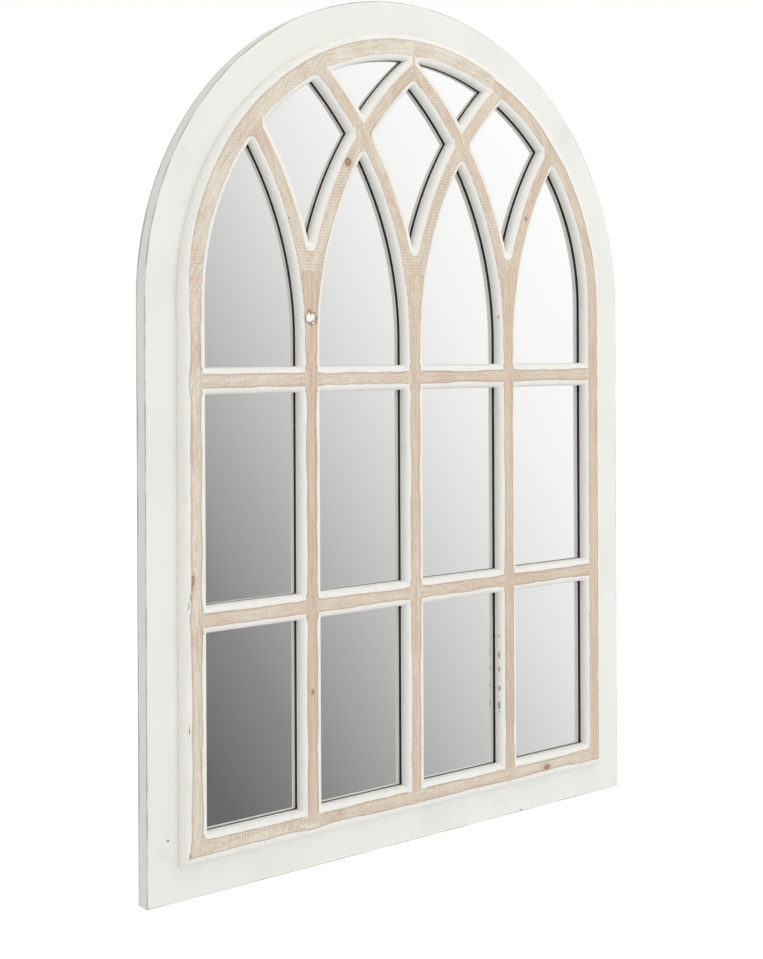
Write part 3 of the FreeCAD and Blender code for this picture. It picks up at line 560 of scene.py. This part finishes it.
# Frame boards: lean of the grain in degrees, and dents and smudges with their place, half width and half
# height in millimetres and their strength.
BOARDS = {
    "frame_left_stile": (0, [(-289.2, 35.3, 1.7, 1.1, 0.9)]),
    "frame_right_stile": (0, []),
    "frame_bottom_rail": (90, [(156.4, -22.2, 2.2, 1.2, 0.7), (125.0, -7.4, 16.0, 4.0, 0.05)]),
    "frame_arch_left": (30, []),
    "frame_arch_crown": (90, []),
    "frame_arch_right": (-30, [(229.4, 729.4, 9.0, 12.0, 0.06)]),
}
STEEL = ("framers_points", "sash_screws", "left_hanger_strap", "right_hanger_strap", "left_d_ring",
         "right_d_ring", "hanger_screws")
dressed = {}
for piece, (lean, dents) in BOARDS.items():
    dressed[piece] = painted_board(piece, lean, dents)
for piece, (lean, wash, sawn, seed) in STRIPS.items():
    dressed[piece] = washed_fir(piece, lean, wash, sawn, SEED_STEP * seed)
dressed.update(dict.fromkeys(STEEL, zinc_steel("zinc_steel")))
dressed["backing_board"] = hardboard("hardboard")
dressed["frame_dowels"] = birch("birch_dowel")
for piece, material in dressed.items():
    nodes[piece].data.materials.clear()
    nodes[piece].data.materials.append(material)

# The silver of the glass, as deep under the strips as the sheet's thickness makes it look: a half disc on a
# rectangle. Sizes in millimetres.
SILVER_DEPTH = 1.9
SILVER_THICKNESS = 1.0
PANE_SEGMENTS = 256
glass_low, glass_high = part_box("mirror_glass")
spring = SPRING * MM
pane_mesh = bmesh.new()
upright = Matrix.Translation((0, 0, spring)) @ Matrix.Rotation(math.radians(90), 4, "X")
bmesh.ops.create_circle(pane_mesh, cap_ends=True, radius=glass_high.x, segments=PANE_SEGMENTS, matrix=upright)
bmesh.ops.bisect_plane(pane_mesh, geom=pane_mesh.verts[:] + pane_mesh.edges[:] + pane_mesh.faces[:],
                       dist=1e-7, plane_co=(0, 0, spring), plane_no=(0, 0, -1), clear_outer=True)
chord = [edge for edge in pane_mesh.edges if all(abs(vert.co.z - spring) < 1e-6 for vert in edge.verts)]
drawn_down = bmesh.ops.extrude_edge_only(pane_mesh, edges=chord)["geom"]
for vert in (item for item in drawn_down if isinstance(item, bmesh.types.BMVert)):
    vert.co.z = glass_low.z
back = bmesh.ops.extrude_face_region(pane_mesh, geom=pane_mesh.faces[:])["geom"]
bmesh.ops.translate(pane_mesh, verts=[item for item in back if isinstance(item, bmesh.types.BMVert)],
                    vec=(0, SILVER_THICKNESS * MM, 0))
bmesh.ops.translate(pane_mesh, verts=pane_mesh.verts, vec=(0, (BOARD_FACE + SILVER_DEPTH) * MM, 0))
bmesh.ops.recalc_face_normals(pane_mesh, faces=pane_mesh.faces)
pane_data = bpy.data.meshes.new("silvered_pane")
pane_mesh.to_mesh(pane_data)
pane_mesh.free()
pane = bpy.data.objects.new("silvered_pane", pane_data)
scene.collection.objects.link(pane)
pane_data.materials.append(silvered_glass("silvered_glass"))
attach(pane, "mirror")
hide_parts("mirror_glass")

# Studio: a pale floor well below the hanging mirror, soft light all round and two large lamps. Sizes are
# in metres.
FLOOR_DROP = 0.6
FLOOR_HALF = 30.0
FLOOR_PAINT = srgb("#FAFAFA")
FLOOR_GLOW = srgb("#8E8E8E")    # added for the camera, so that the floor is white outside the shadow
floor_mesh = bmesh.new()
bmesh.ops.create_grid(floor_mesh, x_segments=1, y_segments=1, size=FLOOR_HALF,
                      matrix=Matrix.Translation((0, 0, -FLOOR_DROP)))
floor_data = bpy.data.meshes.new("floor")
floor_mesh.to_mesh(floor_data)
floor_mesh.free()
floor = bpy.data.objects.new("floor", floor_data)
floor.visible_glossy = False
scene.collection.objects.link(floor)
pale, floor_tree, floor_shader, _ = start_material("pale_floor")
seen = add(floor_tree, "LightPath", out="Is Camera Ray")
finish_material(floor_tree, floor_shader, {"Base Color": FLOOR_PAINT, "Roughness": 1.0,
                                           "Emission Color": FLOOR_GLOW, "Emission Strength": seen})
floor_data.materials.append(pale)

# Lamps: place, width, height and watts.
LAMPS = {"softbox": ((2.8, -4.0, 2.5), 3.0, 2.6, 42.0), "overhead": ((0.2, -1.3, 2.9), 2.4, 1.4, 9.0)}
LAMP_AIM = Vector((0, 0, 0.4))
for lamp_name, (spot, width, height, watts) in LAMPS.items():
    lamp_data = bpy.data.lights.new(lamp_name, "AREA")
    lamp_data.shape = "RECTANGLE"
    lamp_data.size = width
    lamp_data.size_y = height
    lamp_data.energy = watts
    lamp = bpy.data.objects.new(lamp_name, lamp_data)
    lamp.location = spot
    lamp.rotation_euler = (LAMP_AIM - lamp.location).to_track_quat("-Z", "Y").to_euler()
    lamp.visible_glossy = False
    scene.collection.objects.link(lamp)

# World: white for the camera, plain light for the paint, and for the glass a studio that goes from dark to
# bright towards one side and upwards, in steps of degrees.
ROOM_STEPS = ((-10.0, "#9A9A9A"), (14.0, "#6A6A6A"), (22.0, "#6A6A6A"), (26.0, "#8A8A89"), (30.0, "#ADADAC"),
              (34.0, "#CCCCCB"), (38.0, "#E5E5E4"), (42.0, "#F6F6F5"), (48.0, "#FFFFFF"))
RISE_SHARE = 0.6        # how much a degree upwards counts against one sideways
WHITE = srgb("#FFFFFF")
PLAIN_LIGHT = 0.85
CAMERA_LIGHT = 1.0
GLASS_LIGHT = 1.1
world = bpy.data.worlds.new("studio")
scene.world = world
world.use_nodes = True
room = world.node_tree
room.nodes.clear()
look_x, look_y, look_z = add(room, "SeparateXYZ", {0: add(room, "TexCoord", out="Generated")}).node.outputs
aside = add(room, "Math", {0: look_x}, operation="ABSOLUTE")
ahead = add(room, "Math", {0: look_y, 1: -1.0}, operation="MULTIPLY")
turn = add(room, "Math", {0: aside, 1: ahead}, operation="ARCTAN2")
rise = add(room, "Math", {0: look_z}, operation="ARCSINE")
both_ways = add(room, "Math", {0: rise, 1: RISE_SHARE, 2: turn}, operation="MULTIPLY_ADD")
bearing = add(room, "Math", {0: both_ways}, operation="DEGREES")
first_step, last_step = ROOM_STEPS[0][0], ROOM_STEPS[-1][0]
along = add(room, "MapRange", {0: bearing, 1: first_step, 2: last_step})
tones = add(room, "ValToRGB", {0: along})
stops = tones.node.color_ramp.elements
for step, (angle, tone) in enumerate(ROOM_STEPS):
    position = (angle - first_step) / (last_step - first_step)
    stop = stops[step] if step < 2 else stops.new(position)
    stop.position = position
    stop.color = srgb(tone)
plain = add(room, "Background", {0: WHITE, 1: PLAIN_LIGHT})
white = add(room, "Background", {0: WHITE, 1: CAMERA_LIGHT})
mirrored = add(room, "Background", {0: tones, 1: GLASS_LIGHT})
direct = add(room, "MixShader", {0: add(room, "LightPath", out="Is Camera Ray"), 1: plain, 2: white})
whole = add(room, "MixShader", {0: add(room, "LightPath", out="Is Glossy Ray"), 1: direct, 2: mirrored})
room.links.new(whole, room.nodes.new("ShaderNodeOutputWorld").inputs["Surface"])
